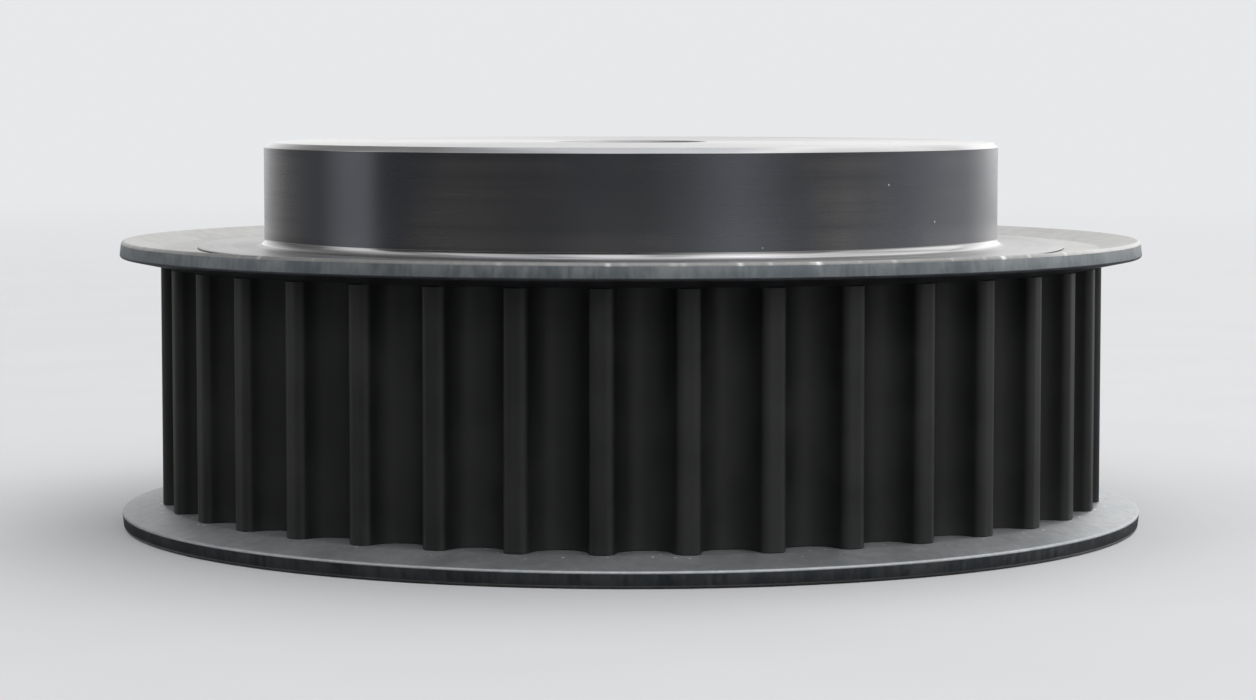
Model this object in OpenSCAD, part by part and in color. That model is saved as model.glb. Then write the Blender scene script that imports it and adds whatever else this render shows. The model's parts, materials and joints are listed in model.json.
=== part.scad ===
// Flanged timing belt pulley for a belt with round teeth, with a hub on one side and a plain pilot bore.
// The pulley turns about +Z. The origin is on its axis, in the plane that the lower flange's rim stands on.

/* [Belt teeth] */
// Number of tooth gaps round the pulley
teeth = 38; // [36:1:60]
// Distance from one tooth gap to the next along the belt's pitch line
pitch = 8; // [7.9:0.05:8.4]
// Height of the belt's pitch line over the tooth tips
pitch_line = 0.686; // [0.6:0.001:0.8]
// Depth of a tooth gap
gap_depth = 3.45; // [3:0.05:3.6]
// Radius of the round bottom of a tooth gap
gap_r = 2.7; // [2.5:0.05:2.8]
// Width of a tooth gap at the tooth tips
gap_mouth = 5.72; // [5.6:0.02:6]

/* [Body] */
// Width of the body between its two end faces, without the hub
face_w = 27.6; // [26:0.1:36]
// Diameter of the hub
hub_d = 74.5; // [50:0.5:78]
// Height of the hub over the end face that it stands on
hub_h = 10.4; // [6:0.1:20]
// Radius of the fillet at the foot of the hub
hub_fillet = 0.8; // [0.3:0.1:1.5]
// Edge break round the top of the hub
hub_chamfer = 0.5; // [0.2:0.1:1]
// Diameter of the pilot bore
bore_d = 14; // [8:1:30]
// Chamfer at each end of the bore
bore_chamfer = 0.8; // [0.4:0.1:1.5]

/* [Flanges] */
// Reach of a flange's rim past the tooth tips
flange_reach = 4.05; // [3:0.05:6]
// Thickness of a flange, along the axis
flange_t = 1.6; // [1:0.1:2]
// Angle that a flange opens away from the belt
flange_angle = 11.5; // [10:0.5:20]
// Height that a flange's rim stands proud of the body's end face
rim_proud = 0.6; // [0:0.05:0.6]
// Distance from the bottom of a tooth gap in to the flange's seat on the body
seat_in = 0.75; // [0.5:0.05:1.5]
// Edge break on the outer corner of a flange's rim
rim_break = 0.35; // [0.1:0.05:0.5]

/* [Rolled edge] */
// Width of the rolled edge that holds a flange down
lip_w = 0.45; // [0.2:0.05:0.8]
// Width of the sloping band that the rolling leaves on the end face
lip_band = 1.2; // [0.5:0.1:2]

/* [Hidden] */

// Facets of each full turn, for display only
round_fn = 180;
gap_fn = 48;
// Small overlap, so that a cut passes right through
over = 1;
// Steps of the fillet arc at the foot of the hub, in degrees
fillet_step = 15;

// Half width of a gap's throat where it leaves the round bottom, as a share of the bottom's radius
throat_share = 0.98;
// Distance inside the tooth tips at which a flange starts to open
flare_inset = 0.15;
// Distance that a rim's cut edge leans in towards its outer corner
edge_lean = 0.2;
// Height of the rolled edge over the flange before it slopes, as a share of its whole height
lip_share = 0.9;

// Radii
tip_r = teeth * pitch / PI / 2 - pitch_line;
root_r = tip_r - gap_depth;
seat_r = root_r - seat_in;
rim_r = tip_r + flange_reach;
hub_r = hub_d / 2;
bore_r = bore_d / 2;

// A flange is flat out to just inside the tooth tips, and opens from there to its rim
flare_start_r = tip_r - flare_inset;
flare_h = (rim_r - flare_start_r) * tan(flange_angle);

// Heights
over_rims = face_w + 2 * rim_proud;
end_face_low = rim_proud;
end_face_high = end_face_low + face_w;
hub_top = end_face_high + hub_h;
belt_low = flange_t + flare_h;
belt_high = over_rims - belt_low;
flange_low = flare_h;
flange_high = over_rims - flare_h;
// The rolled edge rises this much over the flange, and then slopes up to the end face
lip_h = lip_share * (flare_h - rim_proud);

body_colour = [0.15, 0.15, 0.17];
flange_colour = [0.62, 0.62, 0.62];

// Outline of one tooth gap, in a frame with its origin at the centre of the round bottom
// and +X pointing out of the gap. The upper part is a throat that opens to the gap's mouth.
module gap_outline() {
    throat = gap_depth - gap_r;
    narrow = throat_share * gap_r;
    slope = (gap_mouth / 2 - narrow) / throat;
    outer = throat + over;
    wide = narrow + slope * outer;
    circle(r = gap_r, $fn = gap_fn);
    polygon([[0, -narrow], [outer, -wide], [outer, wide], [0, narrow]]);
}

// The toothed ring between the flanges. A tooth tip points along -Y.
module toothed_ring() {
    translate([0, 0, belt_low])
        linear_extrude(height = belt_high - belt_low)
            difference() {
                circle(r = tip_r, $fn = round_fn);
                for (i = [0 : teeth - 1])
                    rotate(-90 + (i + 0.5) * 360 / teeth)
                        translate([root_r + gap_r, 0])
                            gap_outline();
            }
}

// Half section of the turned body: both end faces with their rolled edges, and the hub
module body_section() {
    polygon(concat(
        [
            [0, end_face_low],
            [seat_r - lip_band, end_face_low],
            [seat_r + lip_w, flange_low - lip_h],
            [seat_r + lip_w, flange_low],
            [seat_r, flange_low],
            [seat_r, flange_high],
            [seat_r + lip_w, flange_high],
            [seat_r + lip_w, flange_high + lip_h],
            [seat_r - lip_band, end_face_high]
        ],
        [
            for (a = [0 : fillet_step : 90])
                [
                    hub_r + hub_fillet * (1 - sin(a)),
                    end_face_high + hub_fillet * (1 - cos(a))
                ]
        ],
        [
            [hub_r, hub_top - hub_chamfer],
            [hub_r - hub_chamfer, hub_top],
            [0, hub_top]
        ]
    ));
}

// Pilot bore with a chamfer at each mouth
module pilot_bore() {
    translate([0, 0, end_face_low - over])
        cylinder(h = hub_top - end_face_low + 2 * over, r = bore_r, $fn = round_fn);
    translate([0, 0, end_face_low])
        cylinder(h = bore_chamfer, r1 = bore_r + bore_chamfer, r2 = bore_r, $fn = round_fn);
    translate([0, 0, hub_top - bore_chamfer])
        cylinder(h = bore_chamfer, r1 = bore_r, r2 = bore_r + bore_chamfer, $fn = round_fn);
}

// One pressed flange, with z = 0 on the flat face that meets the teeth and +Z away from the belt
module flange() {
    color(flange_colour)
        rotate_extrude($fn = round_fn)
            polygon([
                [seat_r, 0],
                [flare_start_r, 0],
                [rim_r, flare_h],
                [rim_r - edge_lean, flare_h + flange_t - rim_break],
                [rim_r - edge_lean - rim_break, flare_h + flange_t],
                [flare_start_r, flange_t],
                [seat_r, flange_t]
            ]);
}

// Steel body: toothed ring, end faces, hub and bore in one turned piece
module toothed_body() {
    color(body_colour)
        difference() {
            union() {
                toothed_ring();
                rotate_extrude($fn = round_fn)
                    body_section();
            }
            pilot_bore();
        }
}

// Flange on the hub's side
module hub_side_flange() {
    translate([0, 0, belt_high])
        flange();
}

// Flange on the plain side, the same pressing turned over
module plain_side_flange() {
    translate([0, 0, belt_low])
        mirror([0, 0, 1])
            flange();
}

toothed_body();
hub_side_flange();
plain_side_flange();
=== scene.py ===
"""Looks of a flanged timing belt pulley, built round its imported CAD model.

Everything is in metres in the CAD's frame: the pulley's axis is Z, z = 0 is the plane that the lower rim
stands on, and a tooth tip points along -Y. Each CAD node is replaced by a finer mesh of the same size.
"""
import json
import math
import random

import bmesh
import bpy
import numpy as np
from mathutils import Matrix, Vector


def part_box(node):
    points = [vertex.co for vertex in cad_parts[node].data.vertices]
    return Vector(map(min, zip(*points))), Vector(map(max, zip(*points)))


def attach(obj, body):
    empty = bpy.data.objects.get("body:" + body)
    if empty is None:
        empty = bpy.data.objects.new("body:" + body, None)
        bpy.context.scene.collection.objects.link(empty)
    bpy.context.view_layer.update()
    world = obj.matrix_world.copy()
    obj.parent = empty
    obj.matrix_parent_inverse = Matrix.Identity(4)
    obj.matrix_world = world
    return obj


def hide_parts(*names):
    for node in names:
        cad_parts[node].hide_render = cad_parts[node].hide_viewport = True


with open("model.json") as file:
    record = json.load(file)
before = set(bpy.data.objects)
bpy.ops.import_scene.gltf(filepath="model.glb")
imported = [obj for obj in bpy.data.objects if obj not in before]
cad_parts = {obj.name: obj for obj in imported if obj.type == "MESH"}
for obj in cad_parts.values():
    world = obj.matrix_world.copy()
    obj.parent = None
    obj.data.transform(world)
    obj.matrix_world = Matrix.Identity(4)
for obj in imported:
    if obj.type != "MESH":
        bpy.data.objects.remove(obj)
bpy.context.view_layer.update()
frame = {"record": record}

MM = 0.001

# ---------------------------------------------------------------- sizes, from the frame where it holds them
body_lo, body_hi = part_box("toothed_body")
upper_lo, upper_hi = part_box("hub_side_flange")
_, lower_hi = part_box("plain_side_flange")
mounts = {m["name"]: m for m in frame["record"]["mounts"]}

# Teeth of the 8 mm pitch round-tooth belt
TEETH = 38
PITCH = 8.0 * MM
PITCH_LINE = 0.686 * MM
GAP_DEPTH = 3.45 * MM
GAP_R = 2.7 * MM
TIP_ROUND = 0.8 * MM
TOOTH_END_EASE = 0.08 * MM

# Radii, from the axis
SEAT_IN = 0.75 * MM
TIP_R = TEETH * PITCH / (2 * math.pi) - PITCH_LINE
ROOT_R = TIP_R - GAP_DEPTH
SEAT_R = ROOT_R - SEAT_IN
RIM_R = upper_hi.x
HUB_R = 37.25 * MM
BORE_R = mounts["pilot_bore"]["dims"]["r_mm"] * MM

# Heights
HUB_TOP = body_hi.z
END_LOW = body_lo.z
END_HIGH = upper_hi.z - END_LOW
BELT_LOW = lower_hi.z
BELT_HIGH = upper_lo.z

# Flanges
FLANGE_T = 1.6 * MM
FLARE_IN = 0.15 * MM
FLARE_H = BELT_LOW - FLANGE_T
FLARE_START_R = TIP_R - FLARE_IN
EDGE_LEAN = 0.2 * MM

# Edges of the body
BORE_CHAMFER = 0.8 * MM
HUB_CHAMFER = 0.5 * MM
FOOT_FILLET = 0.8 * MM
SOFT_EDGE = 0.06 * MM

# The body's rolled edge over a flange: its reach out over the flange, how far inside the seat its slope
# starts, its height as a share of the end face's height over the flange, and its round
LIP_W = 0.45 * MM
LIP_BAND = 1.2 * MM
LIP_SHARE = 0.9
LIP_ROUND = 0.12 * MM

# ---------------------------------------------------------------- profile helpers


def arc(centre, radius, start, end, steps):
    """Points along an arc of the half section, from start to end in degrees."""
    turn = np.radians(np.linspace(start, end, steps + 1))
    return [(centre[0] + radius * math.cos(a), centre[1] + radius * math.sin(a)) for a in turn]


def rounded(points, radii, steps=4):
    """An open outline with each inner corner replaced by an arc of its own radius."""
    out = [points[0]]
    for before, corner, after, radius in zip(points, points[1:], points[2:], radii):
        p, q, r = (np.array(v, float) for v in (before, corner, after))
        to_p = (p - q) / np.linalg.norm(p - q)
        to_r = (r - q) / np.linalg.norm(r - q)
        half = math.acos(float(to_p @ to_r)) / 2
        reach = radius / math.tan(half)
        middle = (to_p + to_r) / np.linalg.norm(to_p + to_r)
        centre = q + middle * radius / math.sin(half)
        first = q + to_p * reach - centre
        last = q + to_r * reach - centre
        start = math.atan2(first[1], first[0])
        sweep = math.atan2(last[1], last[0]) - start
        sweep = (sweep + math.pi) % (2 * math.pi) - math.pi
        for k in range(steps + 1):
            a = start + sweep * k / steps
            out.append((centre[0] + radius * math.cos(a), centre[1] + radius * math.sin(a)))
    out.append(points[-1])
    return out


SHARP_ANGLE = math.radians(40)


def grid_mesh(name, rings, finishes, materials):
    """A closed mesh from rings of equal length. finishes[k] is the material of the band after ring k."""
    count = len(rings[0])
    verts = [p for ring in rings for p in ring]
    faces = []
    slots = []
    for k in range(len(rings)):
        a = k * count
        b = ((k + 1) % len(rings)) * count
        for i in range(count):
            j = (i + 1) % count
            faces.append((a + i, a + j, b + j, b + i))
            slots.append(finishes[k])
    mesh = bpy.data.meshes.new(name)
    mesh.from_pydata(verts, [], faces)
    mesh.polygons.foreach_set("material_index", slots)
    mesh.polygons.foreach_set("use_smooth", [True] * len(faces))
    bm = bmesh.new()
    bm.from_mesh(mesh)
    bmesh.ops.recalc_face_normals(bm, faces=bm.faces)
    for edge in bm.edges:
        edge.smooth = edge.calc_face_angle(0.0) < SHARP_ANGLE
    bm.to_mesh(mesh)
    bm.free()
    for material in materials:
        mesh.materials.append(material)
    piece = bpy.data.objects.new(name, mesh)
    bpy.context.collection.objects.link(piece)
    weighted = piece.modifiers.new("flat faces stay flat", "WEIGHTED_NORMAL")
    weighted.keep_sharp = True
    return piece


# ---------------------------------------------------------------- toothed outline


def tooth_gap_points():
    """One pitch of the toothed outline as (x, y), with +X along the middle of the gap."""
    gap_centre = ROOT_R + GAP_R
    round_centre = TIP_R - TIP_ROUND
    apart = GAP_R + TIP_ROUND
    cosine = (gap_centre ** 2 + round_centre ** 2 - apart ** 2) / (2 * gap_centre * round_centre)
    land_from = math.acos(cosine)
    land_to = 2 * math.pi / TEETH - land_from
    cx = round_centre * math.cos(land_from)
    cy = round_centre * math.sin(land_from)
    meet = math.degrees(math.atan2(cy, cx - gap_centre))
    bottom = arc((gap_centre, 0), GAP_R, -meet + 360, meet, 20)[1:-1]
    corner = arc((cx, cy), TIP_ROUND, meet - 180, math.degrees(land_from), 7)
    mirrored = [(x, -y) for x, y in reversed(corner)]
    land = [(TIP_R * math.cos(a), TIP_R * math.sin(a)) for a in np.linspace(land_from, land_to, 5)[1:-1]]
    return mirrored + bottom + corner + land


def toothed_outline(inset=0.0):
    """The whole outline as (x, y), moved in towards the axis by inset."""
    one = tooth_gap_points()
    points = []
    for tooth in range(TEETH):
        turn = math.radians(-90) + (tooth + 0.5) * 2 * math.pi / TEETH
        c = math.cos(turn)
        s = math.sin(turn)
        for x, y in one:
            shrink = 1 - inset / math.hypot(x, y)
            points.append(((x * c - y * s) * shrink, (x * s + y * c) * shrink))
    return points


OUTLINE = toothed_outline()
AROUND = len(OUTLINE)


def body_circle(radius, z):
    """A ring of the body, with one point for each point of the toothed outline."""
    start = math.atan2(OUTLINE[0][1], OUTLINE[0][0])
    angles = [start + 2 * math.pi * i / AROUND for i in range(AROUND)]
    return [(radius * math.cos(a), radius * math.sin(a), z) for a in angles]


def outline_ring(z, inset=0.0):
    """The toothed outline as a ring of the body."""
    return [(x, y, z) for x, y in toothed_outline(inset)]


# ---------------------------------------------------------------- materials
BACKDROP = (0.80, 0.81, 0.82, 1)


class Tree:
    """Short calls for building one material's node tree."""

    def __init__(self, name):
        self.material = bpy.data.materials.new(name)
        self.material.use_nodes = True
        self.nodes = self.material.node_tree.nodes
        self.links = self.material.node_tree.links
        self.shader = self.nodes["Principled BSDF"]
        self.place = self.add("ShaderNodeTexCoord").outputs["Object"]

    def add(self, kind, **settings):
        node = self.nodes.new(kind)
        for key, value in settings.items():
            setattr(node, key, value)
        return node

    def put(self, socket, value):
        """Links an output to the socket, or sets the socket's own value."""
        if isinstance(value, bpy.types.NodeSocket):
            self.links.new(value, socket)
        else:
            socket.default_value = value

    def set(self, **values):
        """Sets or links the shader's inputs, named with _ for a space."""
        for key, value in values.items():
            self.put(self.shader.inputs[key.replace("_", " ")], value)

    def math(self, operation, a, b=0.0, clamp=False):
        node = self.add("ShaderNodeMath", operation=operation, use_clamp=clamp)
        self.put(node.inputs[0], a)
        self.put(node.inputs[1], b)
        return node.outputs[0]

    def blend(self, a, share_a, b, share_b):
        """The sum of two values, each times its share."""
        return self.math("ADD", self.math("MULTIPLY", a, share_a), self.math("MULTIPLY", b, share_b))

    def split(self, vector=None):
        node = self.add("ShaderNodeSeparateXYZ")
        self.put(node.inputs[0], vector or self.place)
        return node.outputs

    def join(self, x, y, z):
        node = self.add("ShaderNodeCombineXYZ")
        for socket, value in zip(node.inputs, (x, y, z)):
            self.put(socket, value)
        return node.outputs[0]

    def scaled(self, vector, scale):
        node = self.add("ShaderNodeVectorMath", operation="MULTIPLY")
        self.put(node.inputs[0], vector)
        node.inputs[1].default_value = scale
        return node.outputs[0]

    def radius(self, x, y):
        """Distance from the pulley's axis."""
        return self.math("SQRT", self.math("ADD", self.math("MULTIPLY", x, x), self.math("MULTIPLY", y, y)))

    def noise(self, vector, scale, detail, roughness):
        node = self.add("ShaderNodeTexNoise")
        self.put(node.inputs["Vector"], vector)
        node.inputs["Scale"].default_value = scale
        node.inputs["Detail"].default_value = detail
        node.inputs["Roughness"].default_value = roughness
        return node.outputs["Fac"]

    def ramp(self, value, low, high, to_low=0.0, to_high=1.0, smooth=True):
        """Maps low..high to to_low..to_high, held at both ends."""
        node = self.add("ShaderNodeMapRange", interpolation_type="SMOOTHSTEP" if smooth else "LINEAR")
        self.put(node.inputs["Value"], value)
        node.inputs["From Min"].default_value = low
        node.inputs["From Max"].default_value = high
        node.inputs["To Min"].default_value = to_low
        node.inputs["To Max"].default_value = to_high
        return node.outputs[0]

    def roughness(self, pattern, low, high):
        """A roughness from low to high that follows a noise pattern."""
        return self.ramp(pattern, 0.3, 0.7, low, high, smooth=False)

    def mix(self, factor, a, b):
        node = self.add("ShaderNodeMix", data_type="RGBA")
        self.put(node.inputs[0], factor)
        self.put(node.inputs[6], a)
        self.put(node.inputs[7], b)
        return node.outputs[2]

    def bump(self, height, strength, distance):
        node = self.add("ShaderNodeBump")
        node.inputs["Strength"].default_value = strength
        node.inputs["Distance"].default_value = distance
        self.put(node.inputs["Height"], height)
        return node.outputs[0]

    def specks(self, scale, size, share):
        """Sparse small round spots. A cell of the pattern holds a spot if its random value is above share."""
        cells = self.add("ShaderNodeTexVoronoi")
        self.put(cells.inputs["Vector"], self.place)
        cells.inputs["Scale"].default_value = scale
        chosen = self.math("GREATER_THAN", self.split(cells.outputs["Color"])[0], share)
        spot = self.ramp(cells.outputs["Distance"], size, size * 0.5)
        return self.math("MULTIPLY", spot, chosen)

    def turned(self):
        """Coordinates that follow the marks of turning: round the axis, and across the marks in metres."""
        x, y, z = self.split()
        radius = self.radius(x, y)
        across = self.math("ADD", radius, z)
        return self.join(self.math("DIVIDE", x, radius), self.math("DIVIDE", y, radius), across)

    def tangent_round_axis(self):
        """Lets the shader's highlight stretch across the turning marks."""
        tangent = self.add("ShaderNodeTangent", direction_type="RADIAL", axis="Z")
        self.put(self.shader.inputs["Tangent"], tangent.outputs[0])


# Scales of the noises that follow the tool marks: twice round the axis, and per metre across the marks
FINE_RINGS = (0.8, 0.8, 9000)
FEED_BANDS = (0.15, 0.15, 900)
TEMPER_PATCHES = (2.2, 2.2, 12)
ROLLED_GRAIN = (2.0, 2.0, 4000)
DUST = (0.75, 0.75, 0.72, 1)
# Bare metal in the nicks, lightened further as a painted glint
NICK_METAL_AND_GLINT = (0.85, 0.85, 0.84, 1)
WHITE = (1.0, 1.0, 1.0, 1)
BLACK = (0, 0, 0, 1)


def turned_steel(name, dark, light, roughness, marks, anisotropy=0.6, tint=None, specks=False):
    """Lathe-turned steel: fine rings from the tool, broad bands where its feed changed, and soft clouds.

    marks is the strength of the rings' relief. tint is the colour of the patches that ran hot.
    """
    t = Tree(name)
    rings = t.turned()
    fine = t.noise(t.scaled(rings, FINE_RINGS), 1.0, 3.0, 0.6)
    bands = t.noise(t.scaled(rings, FEED_BANDS), 1.0, 3.0, 0.6)
    cloud = t.noise(t.place, 70.0, 4.0, 0.55)
    colour = t.mix(t.ramp(t.blend(bands, 0.65, cloud, 0.35), 0.3, 0.7), dark, light)
    rough = t.roughness(t.blend(fine, 0.4, cloud, 0.6), roughness * 0.8, roughness * 1.25)
    if tint:
        temper = t.noise(t.scaled(rings, TEMPER_PATCHES), 1.0, 2.0, 0.5)
        colour = t.mix(t.ramp(temper, 0.42, 0.6), colour, tint)
    if specks:
        dust = t.specks(420.0, 0.055, 0.72)
        colour = t.mix(dust, colour, DUST)
        rough = t.math("ADD", rough, t.math("MULTIPLY", dust, 0.5), clamp=True)
    t.set(
        Base_Color=colour,
        Metallic=1.0,
        Roughness=rough,
        Anisotropic=anisotropy,
        Anisotropic_Rotation=0.25,
        Normal=t.bump(t.math("ADD", fine, t.math("MULTIPLY", bands, 0.6)), marks, 0.01 * MM),
    )
    t.tangent_round_axis()
    return t.material


def black_teeth():
    """Blackened steel of the cut teeth: a soft sheen with faint cutter marks along the gaps."""
    t = Tree("blackened_teeth")
    grain = t.noise(t.place, 2500.0, 3.0, 0.6)
    cloud = t.noise(t.place, 120.0, 4.0, 0.6)
    marks = t.noise(t.scaled(t.place, (900, 900, 60)), 1.0, 2.0, 0.5)
    dark = (0.0085, 0.009, 0.0095, 1)
    light = (0.0165, 0.017, 0.0175, 1)
    t.set(
        Base_Color=t.mix(t.ramp(cloud, 0.35, 0.7), dark, light),
        Metallic=0.0,
        Roughness=t.roughness(t.blend(marks, 0.5, cloud, 0.5), 0.42, 0.58),
        Specular_IOR_Level=0.5,
        Normal=t.bump(t.math("ADD", marks, t.math("MULTIPLY", grain, 0.5)), 0.25, 0.02 * MM),
    )
    return t.material


def flange_steel(name, dark, light, rough_low, rough_high, flecks=False, corner=1.0):
    """Satin zinc-grey sheet steel of the flanges, brighter where the rim's corner is nicked: bare metal with
    a painted glint.

    flecks adds light ones along the teeth. corner is the share of the colour that is left on the round of
    the rim towards -Y, where the rest is painted shade that dims the rim's highlight.
    """
    t = Tree(name)
    x, y, z = t.split()
    radius = t.radius(x, y)
    grain = t.noise(t.place, 3500.0, 2.0, 0.6)
    cloud = t.noise(t.place, 160.0, 5.0, 0.6)
    mottle = t.noise(t.place, 900.0, 3.0, 0.6)
    fine = t.noise(t.scaled(t.turned(), ROLLED_GRAIN), 1.0, 2.0, 0.5)
    nick = t.add("ShaderNodeAttribute", attribute_name="nick").outputs["Fac"]
    colour = t.mix(t.ramp(t.blend(cloud, 0.5, mottle, 0.5), 0.35, 0.65), dark, light)
    # Painted shade: the round of the rim towards -Y is darkened to dim its highlight there
    if corner < 1:
        towards_front = t.ramp(t.math("DIVIDE", y, radius), -0.45, -0.8)
        painted_corner_shade = t.ramp(radius, RIM_R - 0.65 * MM, RIM_R - 0.4 * MM, 0.0, 1.0 - corner)
        colour = t.mix(t.math("MULTIPLY", painted_corner_shade, towards_front), colour, BLACK)
    # Nicks show bare metal, lightened further as a painted glint
    colour = t.mix(nick, colour, NICK_METAL_AND_GLINT)
    if flecks:
        near_teeth = t.ramp(radius, TIP_R + 1.6 * MM, TIP_R + 0.3 * MM)
        fleck = t.math("MULTIPLY", t.specks(1500.0, 0.3, 0.86), near_teeth)
        colour = t.mix(fleck, colour, WHITE)
    t.set(
        Base_Color=colour,
        Metallic=0.9,
        Roughness=t.roughness(t.blend(cloud, 0.6, grain, 0.4), rough_low, rough_high),
        Normal=t.bump(t.math("ADD", fine, grain), 0.15, 0.01 * MM),
    )
    return t.material


def sheared_edge(name, dark, light):
    """The cut edge of the sheet steel: darker, with fine lines across the thickness."""
    t = Tree(name)
    cloud = t.noise(t.place, 260.0, 4.0, 0.6)
    lines = t.noise(t.scaled(t.place, (1800, 1800, 250)), 1.0, 3.0, 0.6)
    t.set(
        Base_Color=t.mix(t.ramp(t.blend(cloud, 0.6, lines, 0.4), 0.35, 0.65), dark, light),
        Metallic=0.9,
        Roughness=t.roughness(lines, 0.42, 0.6),
        Normal=t.bump(lines, 0.3, 0.02 * MM),
    )
    return t.material


def floor_material():
    """Plain pale floor. Reflections see it as a mid-grey mat with a painted shadow near the pulley, and far
    away it melts into the backdrop.
    """
    t = Tree("pale_floor")
    ray = t.add("ShaderNodeLightPath").outputs
    x, y, z = t.split()
    radius = t.radius(x, y)
    mottle = t.noise(t.place, 40.0, 3.0, 0.5)
    pale = t.mix(mottle, (0.66, 0.66, 0.67, 1), (0.70, 0.70, 0.71, 1))
    mat = t.mix(mottle, (0.18, 0.185, 0.19, 1), (0.22, 0.225, 0.23, 1))
    # Painted shadow: the mat seen in reflections darkens close to the pulley, as a contact shadow
    mat = t.mix(t.ramp(radius, RIM_R, RIM_R + 40 * MM), (0.05, 0.052, 0.055, 1), mat)
    near = t.math("SUBTRACT", 1.0, t.ramp(radius, 0.5, 1.0))
    t.set(
        Base_Color=t.mix(t.math("MULTIPLY", ray["Is Glossy Ray"], near), pale, mat),
        Roughness=0.9,
        Specular_IOR_Level=0.1,
    )
    glow = t.add("ShaderNodeEmission")
    glow.inputs["Color"].default_value = BACKDROP
    fade = t.add("ShaderNodeMixShader")
    t.put(fade.inputs[0], t.math("MULTIPLY", t.ramp(radius, 0.25, 1.1), ray["Is Camera Ray"]))
    t.put(fade.inputs[1], t.shader.outputs[0])
    t.put(fade.inputs[2], glow.outputs[0])
    t.put(t.nodes["Material Output"].inputs["Surface"], fade.outputs[0])
    return t.material


# ---------------------------------------------------------------- the body
# Slots of the body's mesh, in the order of body_materials
TEETH_BLACK, HUB_DARK, BARE, BORE_WALL, FILLET, END_FACE = range(6)


def body_materials():
    """The body's finishes."""
    return [
        black_teeth(),
        turned_steel("turned_hub_steel", (0.107, 0.107, 0.112, 1), (0.158, 0.155, 0.156, 1), 0.25, 0.15,
                     anisotropy=0.9, tint=(0.106, 0.111, 0.124, 1), specks=True),
        turned_steel("bare_turned_steel", (0.39, 0.385, 0.39, 1), (0.52, 0.515, 0.51, 1), 0.25, 0.35),
        turned_steel("bored_steel", (0.22, 0.22, 0.22, 1), (0.32, 0.31, 0.31, 1), 0.35, 0.5),
        turned_steel("fillet_steel", (0.32, 0.32, 0.33, 1), (0.39, 0.385, 0.39, 1), 0.15, 0.1,
                     anisotropy=0.2),
        turned_steel("faced_steel", (0.34, 0.34, 0.345, 1), (0.45, 0.445, 0.44, 1), 0.40, 0.35,
                     anisotropy=0.4),
    ]


def hub_outline():
    """Half section of the hub, from the bore over the top to the foot."""
    corners = [
        (BORE_R, HUB_TOP - BORE_CHAMFER),
        (BORE_R + BORE_CHAMFER, HUB_TOP),
        (HUB_R - HUB_CHAMFER, HUB_TOP),
        (HUB_R, HUB_TOP - HUB_CHAMFER),
        (HUB_R, END_HIGH + FOOT_FILLET),
    ]
    return rounded(corners, [SOFT_EDGE] * 3, steps=2)


def lip_outline():
    """Half section of the upper rolled edge, from the end face down to the flange's seat."""
    flange_outer_side = upper_hi.z - FLARE_H
    lip_h = LIP_SHARE * (END_HIGH - flange_outer_side)
    corners = [
        (SEAT_R - LIP_BAND, END_HIGH),
        (SEAT_R + LIP_W, flange_outer_side + lip_h),
        (SEAT_R + LIP_W, flange_outer_side),
        (SEAT_R, flange_outer_side),
    ]
    return rounded(corners, [LIP_ROUND, SOFT_EDGE])


def make_body():
    """The steel body: one closed skin, from the bore over the hub and the teeth and back to the bore."""
    rings = []
    finishes = []

    def circles(points, finish):
        for r, z in points:
            rings.append(body_circle(r, z))
            finishes.append(finish)

    circles([(BORE_R, END_LOW + BORE_CHAMFER)], BORE_WALL)
    circles([(BORE_R, HUB_TOP - BORE_CHAMFER)], END_FACE)
    # The outline's last two points are the ends of the hub's side
    hub = hub_outline()
    circles(hub[1:-2], BARE)
    circles(hub[-2:-1], HUB_DARK)
    # The foot fillet is smooth in its upper half; below, in the crease, it is rougher and darker, the darker
    # colour being painted shade
    foot = arc((HUB_R + FOOT_FILLET, END_HIGH + FOOT_FILLET), FOOT_FILLET, 180, 270, 12)
    circles(foot[:7], FILLET)
    circles(foot[7:-1], BORE_WALL)
    circles(foot[-1:], END_FACE)
    # The small step from the rolled edge down to the flange gets the black teeth's finish, a painted shadow
    # line along the seam
    lip = lip_outline()
    circles(lip[:5], END_FACE)
    circles(lip[5:], TEETH_BLACK)
    circles([(SEAT_R, BELT_HIGH)], TEETH_BLACK)
    for z, inset in (
        (BELT_HIGH, TOOTH_END_EASE),
        (BELT_HIGH - TOOTH_END_EASE, 0),
        (BELT_LOW + TOOTH_END_EASE, 0),
        (BELT_LOW, TOOTH_END_EASE),
    ):
        rings.append(outline_ring(z, inset))
        finishes.append(TEETH_BLACK)
    circles([(SEAT_R, BELT_LOW)], BARE)
    low_lip = [(r, END_LOW + END_HIGH - z) for r, z in reversed(lip)]
    # The lower rolled edge's step is black too, the same painted shadow line
    circles(low_lip[:6], TEETH_BLACK)
    circles(low_lip[6:-1], END_FACE)
    circles(low_lip[-1:], BARE)
    circles([(BORE_R + BORE_CHAMFER, END_LOW)], BARE)
    piece = grid_mesh("pulley_body", rings, finishes, body_materials())
    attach(piece, "root")
    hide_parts("toothed_body")


# ---------------------------------------------------------------- the flanges
FLANGE_AROUND = 1800
# Slots of a flange's mesh
OUTER_SIDE, CUT_EDGE, BELT_SIDE = range(3)
# Nicks in the outer corner of the hub-side flange's rim: degrees from -Y towards +X, depth, half width
RIM_NICKS = [
    (-38.0, 0.05 * MM, 0.22 * MM),
    (1.0, 0.06 * MM, 0.22 * MM),
    (14.0, 0.06 * MM, 0.22 * MM),
    (17.0, 0.03 * MM, 0.2 * MM),
    (22.0, 0.08 * MM, 0.3 * MM),
    (44.5, 0.09 * MM, 0.3 * MM),
    (48.5, 0.04 * MM, 0.2 * MM),
    (55.0, 0.05 * MM, 0.25 * MM),
]
# How far from the rim's outer corner a nick still dents, and the dent that shows as fully bright metal,
# partly a painted glint
NICK_REACH = 0.55 * MM
FULL_MARK = 0.08 * MM


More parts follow.
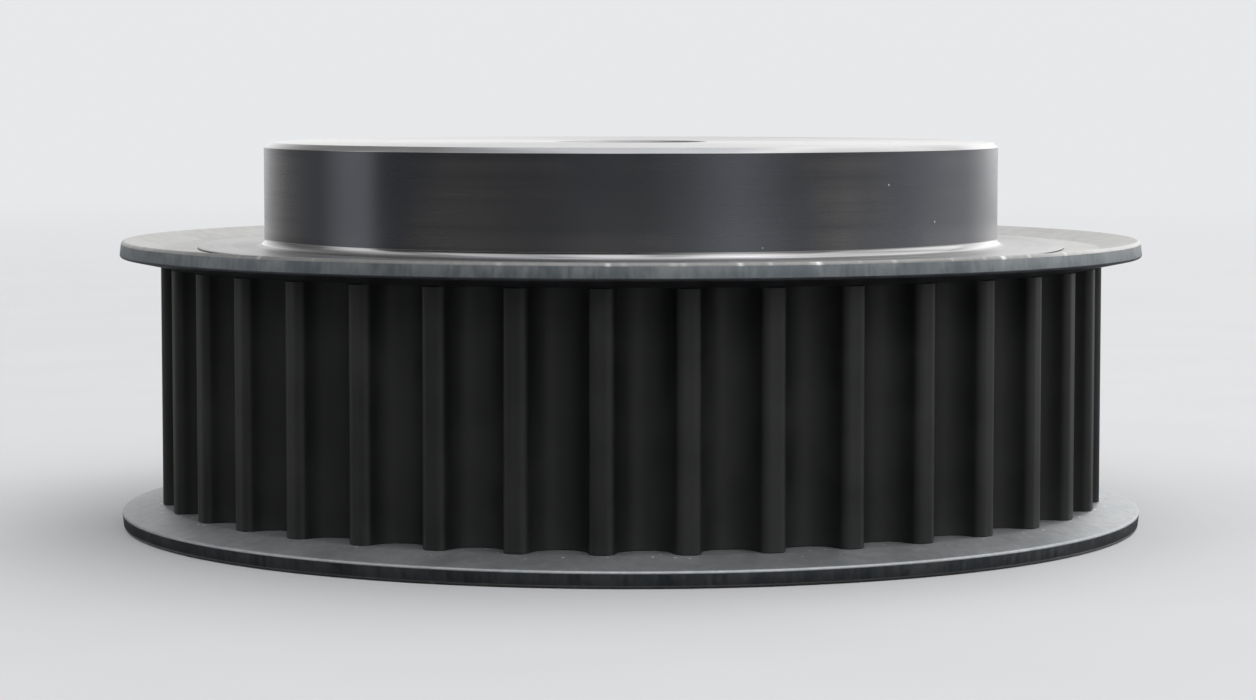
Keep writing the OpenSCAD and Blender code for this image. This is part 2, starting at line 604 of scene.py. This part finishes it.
def flange_profile():
    """Closed half section of a flange, z = 0 on the flat that meets the teeth, +z away from the belt."""
    top = FLARE_H + FLANGE_T
    # Rounds at the seat, the flare's start, both corners of the cut edge, the flare's start and the seat
    radii = [0.1 * MM, 3.0 * MM, 0.25 * MM, 0.35 * MM, 3.0 * MM, 0.15 * MM]
    corner_z = top
    # The outer corner is raised until its round reaches the rim's full height
    for _ in range(3):
        corners = [
            (SEAT_R, FLANGE_T / 2),
            (SEAT_R, 0),
            (FLARE_START_R, 0),
            (RIM_R, FLARE_H),
            (RIM_R - EDGE_LEAN, corner_z),
            (FLARE_START_R, FLANGE_T),
            (SEAT_R, FLANGE_T),
            (SEAT_R, FLANGE_T / 2),
        ]
        profile = rounded(corners, radii, steps=6)[:-1]
        corner_z += top - max(z for r, z in profile)
    return profile


def flange_finishes(profile):
    """Finish of each band of the outline: the belt side, then the cut edge, then the outer side."""
    near_rim = RIM_R - 0.5 * MM
    least_rise = 0.5 * MM

    def is_cut_edge(a, b):
        return min(a[0], b[0]) > near_rim and b[1] - a[1] > least_rise

    bands = list(zip(profile, profile[1:] + profile[:1]))
    cut = [k for k, (a, b) in enumerate(bands) if is_cut_edge(a, b)]
    before = cut[0]
    after = len(bands) - cut[-1] - 1
    return [BELT_SIDE] * before + [CUT_EDGE] * (cut[-1] - before + 1) + [OUTER_SIDE] * after


def small_nicks(seed, count):
    """Seeded random small nicks round the whole rim."""
    rng = random.Random(seed)
    return [
        (rng.uniform(-180, 180), rng.uniform(0.005, 0.03) * MM, rng.uniform(0.12, 0.3) * MM)
        for _ in range(count)
    ]


def nick_depth(angle, nicks):
    """Depth of the nicks at one angle round the rim, in radians from +X."""
    depth = 0.0
    for degrees, deepest, half_width in nicks:
        off = (angle - math.radians(degrees - 90) + math.pi) % (2 * math.pi) - math.pi
        depth += deepest * math.exp(-((off * RIM_R / half_width) ** 2))
    return depth


def make_flange(name, node, z_flat, side, materials, nicks):
    """One pressed flange with its flat at z_flat and its corner nicked. side is 1 up and -1 down."""
    profile = flange_profile()
    angles = [2 * math.pi * i / FLANGE_AROUND for i in range(FLANGE_AROUND)]
    depths = [nick_depth(a, nicks) for a in angles]
    corner = (RIM_R - EDGE_LEAN, FLARE_H + FLANGE_T)
    rings = []
    marks = []
    for r, z in profile:
        share = max(0.0, 1 - math.dist((r, z), corner) / NICK_REACH)
        rings.append([
            ((r - d * share) * math.cos(a), (r - d * share) * math.sin(a), z_flat + side * (z - d * share))
            for a, d in zip(angles, depths)
        ])
        marks.extend(min(1.0, d * share / FULL_MARK) for d in depths)
    piece = grid_mesh(name, rings, flange_finishes(profile), materials)
    piece.data.attributes.new("nick", "FLOAT", "POINT").data.foreach_set("value", marks)
    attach(piece, "root")
    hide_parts(node)


def make_flanges():
    """Both flanges. The upper one's belt side and the lower one's cut edge lie in shade, painted into darker
    copies of their steel.
    """
    sheet = flange_steel("flange_sheet_steel", (0.49, 0.485, 0.475, 1), (0.59, 0.585, 0.57, 1), 0.44, 0.58,
                         corner=0.52)
    lit_belt_side = flange_steel("flange_belt_side", (0.41, 0.425, 0.44, 1), (0.52, 0.53, 0.54, 1),
                                 0.50, 0.62, flecks=True)
    # Painted shade: a darker copy of the belt side's steel for the upper flange's shaded belt side
    painted_shade_belt_side = flange_steel("flange_belt_side_painted_shade", (0.07, 0.072, 0.08, 1), (0.11, 0.112, 0.12, 1),
                                  0.32, 0.42)
    lit_edge = sheared_edge("sheared_edge", (0.15, 0.17, 0.185, 1), (0.27, 0.29, 0.30, 1))
    # Painted shade: a darker copy of the cut edge's steel for the lower flange, whose cut edge faces the
    # shaded floor
    painted_shade_edge = sheared_edge("sheared_edge_painted_shade", (0.068, 0.077, 0.086, 1), (0.13, 0.138, 0.146, 1))
    make_flange("hub_side_flange_ring", "hub_side_flange", BELT_HIGH, 1,
                [sheet, lit_edge, painted_shade_belt_side], RIM_NICKS + small_nicks(3, 40))
    make_flange("plain_side_flange_ring", "plain_side_flange", BELT_LOW, -1,
                [sheet, painted_shade_edge, lit_belt_side], small_nicks(5, 50))


# ---------------------------------------------------------------- the studio


def make_floor():
    """A wide pale floor."""
    bm = bmesh.new()
    bmesh.ops.create_grid(bm, x_segments=8, y_segments=8, size=6.0)
    mesh = bpy.data.meshes.new("floor")
    bm.to_mesh(mesh)
    bm.free()
    mesh.materials.append(floor_material())
    floor = bpy.data.objects.new("floor", mesh)
    bpy.context.collection.objects.link(floor)


def make_light(name, place, size, power):
    """A soft square lamp at place, facing the pulley's middle."""
    aim = Vector((0, 0, 0.02))
    lamp = bpy.data.lights.new(name, "AREA")
    lamp.shape = "SQUARE"
    lamp.size = size
    lamp.energy = power
    holder = bpy.data.objects.new(name, lamp)
    holder.location = place
    holder.visible_camera = False
    holder.rotation_euler = (aim - Vector(place)).to_track_quat("-Z", "Y").to_euler()
    bpy.context.collection.objects.link(holder)


# Brightness of the studio by turn, low down and higher up: 0 is behind the object, 0.25 its left, 0.5 the
# camera's side and 0.75 its right
HORIZON = [
    (0.0, 1.12), (0.05, 1.25), (0.09, 0.80), (0.14, 0.22), (0.20, 0.22), (0.237, 1.35), (0.265, 1.35),
    (0.277, 0.07), (0.42, 0.03), (0.52, 0.01), (0.56, 0.50), (0.60, 0.95), (0.65, 0.34), (0.72, 0.30),
    (0.80, 1.15), (0.86, 1.30), (0.92, 2.00), (1.0, 1.12),
]
CEILING = [
    (0.0, 0.80), (0.03, 0.45), (0.12, 0.34), (0.20, 0.30), (0.24, 0.45), (0.30, 0.45), (0.33, 1.15),
    (0.385, 1.10), (0.42, 0.80), (0.47, 1.65), (0.51, 1.60), (0.535, 0.85), (0.56, 0.95), (0.585, 1.90),
    (0.64, 2.00), (0.675, 0.60), (0.72, 0.02), (0.80, 0.05), (0.87, 0.40), (0.95, 1.90), (1.0, 0.80),
]
OVERHEAD = (0.66, 0.69, 0.74, 1)
BRIGHTEST = 2.4


def make_world():
    """Pale backdrop for the camera. Reflections see a soft room, dark towards the camera."""
    world = bpy.data.worlds.new("studio")
    world.use_nodes = True
    bpy.context.scene.world = world
    nodes = world.node_tree.nodes
    links = world.node_tree.links

    def linked(node, values):
        """Links or sets the node's inputs by index, and returns the node."""
        for index, value in values.items():
            if isinstance(value, bpy.types.NodeSocket):
                links.new(value, node.inputs[index])
            else:
                node.inputs[index].default_value = value
        return node

    def maths(operation, a, b):
        node = nodes.new("ShaderNodeMath")
        node.operation = operation
        return linked(node, {0: a, 1: b}).outputs[0]

    def blend(factor, a, b):
        node = nodes.new("ShaderNodeMix")
        node.data_type = "RGBA"
        return linked(node, {0: factor, 6: a, 7: b}).outputs[2]

    def by_height(low, high):
        """From 0 to 1 as the direction rises from low to high, where straight up is 1."""
        node = nodes.new("ShaderNodeMapRange")
        node.interpolation_type = "SMOOTHSTEP"
        return linked(node, {0: z, 1: low, 2: high}).outputs[0]

    def brightness(stops):
        """A colour ramp round the turn. Its stops hold at most 1, so they are shares of BRIGHTEST."""
        ramp = linked(nodes.new("ShaderNodeValToRGB"), {0: turn})
        elements = ramp.color_ramp.elements
        while len(elements) < len(stops):
            elements.new(0.5)
        for element, (position, level) in zip(elements, stops):
            share = level / BRIGHTEST
            element.position = position
            element.color = (share, share, share, 1)
        grown = nodes.new("ShaderNodeVectorMath")
        grown.operation = "MULTIPLY"
        return linked(grown, {0: ramp.outputs[0], 1: (BRIGHTEST,) * 3}).outputs[0]

    place = nodes.new("ShaderNodeTexCoord").outputs["Generated"]
    x, y, z = linked(nodes.new("ShaderNodeSeparateXYZ"), {0: place}).outputs
    angle = maths("ARCTAN2", x, maths("MULTIPLY", y, -1.0))
    turn = maths("ADD", maths("DIVIDE", angle, 2 * math.pi), 0.5)
    room = blend(by_height(0.24, 0.54), brightness(HORIZON), brightness(CEILING))
    room = blend(by_height(0.8, 0.97), room, OVERHEAD)
    seen = nodes.new("ShaderNodeLightPath").outputs["Is Camera Ray"]
    links.new(blend(seen, room, BACKDROP), nodes["Background"].inputs["Color"])


def make_camera():
    """The photograph's view: close to level, a little above the hub, a tooth tip just left of the middle."""
    distance = 356.5 * MM
    height = 44.2 * MM
    turn = math.radians(3.175)
    down = 0.0754
    aside = 0.0008
    data = bpy.data.cameras.new("camera")
    data.lens = 100
    data.sensor_width = 36
    data.clip_start = 0.01
    camera = bpy.data.objects.new("camera", data)
    camera.location = (distance * math.sin(turn), -distance * math.cos(turn), height)
    camera.rotation_euler = (math.pi / 2 - down, 0, turn + aside)
    bpy.context.collection.objects.link(camera)
    bpy.context.scene.camera = camera


make_camera()
make_world()
make_floor()
make_light("right_softbox", (1.3, 0.2, 1.05), 2.0, 10)
make_light("top_softbox", (0.45, 0.15, 1.3), 2.0, 6)
make_light("left_softbox", (-1.3, 0.1, 0.8), 0.8, 0.7)
make_body()
make_flanges()
bpy.context.scene.view_settings.view_transform = "Standard"
